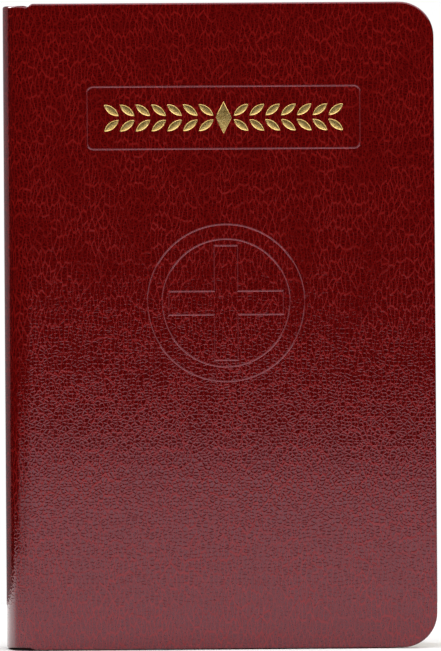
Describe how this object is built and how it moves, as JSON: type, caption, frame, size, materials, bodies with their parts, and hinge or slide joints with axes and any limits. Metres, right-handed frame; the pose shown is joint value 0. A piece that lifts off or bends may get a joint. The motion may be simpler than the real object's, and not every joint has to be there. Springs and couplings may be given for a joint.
{
  "type": "prayer book",
  "caption": "Thick pocket prayer book standing upright: flexible wrinkled crimson leather covers with a gold band and a stamped cross, rounded spine and sewn pages.",
  "frame": {"origin": "centre of the floor area under the closed book as it stands on its tail", "axes": "+Z from tail to head, +X from the spine to the fore-edge, -Y out of the front cover"},
  "size_m": [0.1174, 0.038, 0.176],
  "materials": {
    "crimson_leather": "wrinkled imitation leather grain, satin sheen",
    "grey_board": "matte pressed board",
    "endpaper": "smooth uncoated paper",
    "bible_paper": "thin uncoated paper",
    "gold_foil": "stamped metallic foil",
    "kraft_paper": "matte kraft paper",
    "mull_cloth": "open starched cotton weave",
    "linen_thread": "twisted thread",
    "headband_cloth": "striped woven bead"
  },
  "bodies": {
    "rear_outer_section": {"rear_outer_signatures": "bible_paper", "rear_outer_spine_leather": "crimson_leather", "rear_outer_spine_liner": "kraft_paper", "rear_outer_mull": "mull_cloth", "rear_outer_sewing_thread": "linen_thread", "rear_outer_headband": "headband_cloth", "rear_outer_tailband": "headband_cloth"},
    "rear_inner_section": {"rear_inner_signatures": "bible_paper", "rear_inner_spine_leather": "crimson_leather", "rear_inner_spine_liner": "kraft_paper", "rear_inner_mull": "mull_cloth", "rear_inner_sewing_thread": "linen_thread", "rear_inner_headband": "headband_cloth", "rear_inner_tailband": "headband_cloth"},
    "front_inner_section": {"front_inner_signatures": "bible_paper", "front_inner_spine_leather": "crimson_leather", "front_inner_spine_liner": "kraft_paper", "front_inner_mull": "mull_cloth", "front_inner_sewing_thread": "linen_thread", "front_inner_headband": "headband_cloth", "front_inner_tailband": "headband_cloth"},
    "front_outer_section": {"front_outer_signatures": "bible_paper", "front_outer_spine_leather": "crimson_leather", "front_outer_spine_liner": "kraft_paper", "front_outer_mull": "mull_cloth", "front_outer_sewing_thread": "linen_thread", "front_outer_headband": "headband_cloth", "front_outer_tailband": "headband_cloth"},
    "front_cover": {"front_cover_leather": "crimson_leather", "front_cover_board": "grey_board", "front_pastedown": "endpaper", "front_gold_foil": "gold_foil"},
    "back_cover": {"back_cover_leather": "crimson_leather", "back_cover_board": "grey_board", "back_pastedown": "endpaper"},
    "front_endleaf": {"front_flyleaf": "endpaper"},
    "rear_endleaf": {"rear_flyleaf": "endpaper"},
    "turning_leaf_1": {"middle_leaf_1": "bible_paper"},
    "turning_leaf_2": {"middle_leaf_2": "bible_paper"},
    "turning_leaf_3": {"middle_leaf_3": "bible_paper"}
  },
  "joints": [
    {"name": "middle_opening", "type": "hinge", "parent": "rear_inner_section", "child": "front_inner_section", "pos_m": [-0.05875, 0, 0], "axis": [0, 0, -1], "range_deg": [0, 140]},
    {"name": "front_quarter_opening", "type": "hinge", "parent": "front_inner_section", "child": "front_outer_section", "pos_m": [-0.05756, -0.00852, 0], "axis": [0, 0, -1], "range_deg": [0, 20]},
    {"name": "rear_quarter_opening", "type": "hinge", "parent": "rear_outer_section", "child": "rear_inner_section", "pos_m": [-0.05756, 0.00852, 0], "axis": [0, 0, -1], "range_deg": [0, 20]},
    {"name": "front_cover_hinge", "type": "hinge", "parent": "front_outer_section", "child": "front_cover", "pos_m": [-0.05225, -0.019, 0], "axis": [0, 0, 1], "range_deg": [-180, 0]},
    {"name": "back_cover_hinge", "type": "hinge", "parent": "rear_outer_section", "child": "back_cover", "pos_m": [-0.05225, 0.019, 0], "axis": [0, 0, -1], "range_deg": [-180, 0]},
    {"name": "front_flyleaf_turn", "type": "hinge", "parent": "front_outer_section", "child": "front_endleaf", "pos_m": [-0.05225, -0.019, 0], "axis": [0, 0, 1], "range_deg": [-168, 0]},
    {"name": "rear_flyleaf_turn", "type": "hinge", "parent": "rear_outer_section", "child": "rear_endleaf", "pos_m": [-0.05225, 0.019, 0], "axis": [0, 0, -1], "range_deg": [-168, 0]},
    {"name": "turning_leaf_1_turn", "type": "hinge", "parent": "rear_inner_section", "child": "turning_leaf_1", "pos_m": [-0.05875, 0, 0], "axis": [0, 0, -1], "range_deg": [0, 123.4]},
    {"name": "turning_leaf_2_turn", "type": "hinge", "parent": "rear_inner_section", "child": "turning_leaf_2", "pos_m": [-0.05875, 0, 0], "axis": [0, 0, -1], "range_deg": [0, 70.2]},
    {"name": "turning_leaf_3_turn", "type": "hinge", "parent": "rear_inner_section", "child": "turning_leaf_3", "pos_m": [-0.05875, 0, 0], "axis": [0, 0, -1], "range_deg": [0, 17]}
  ],
  "couplings": [
    {"joint": "front_flyleaf_turn", "follows": "front_cover_hinge", "ratio": 0.93},
    {"joint": "rear_flyleaf_turn", "follows": "back_cover_hinge", "ratio": 0.93},
    {"joint": "turning_leaf_1_turn", "follows": "middle_opening", "ratio": 0.88},
    {"joint": "turning_leaf_2_turn", "follows": "middle_opening", "ratio": 0.5},
    {"joint": "turning_leaf_3_turn", "follows": "middle_opening", "ratio": 0.12}
  ]
}
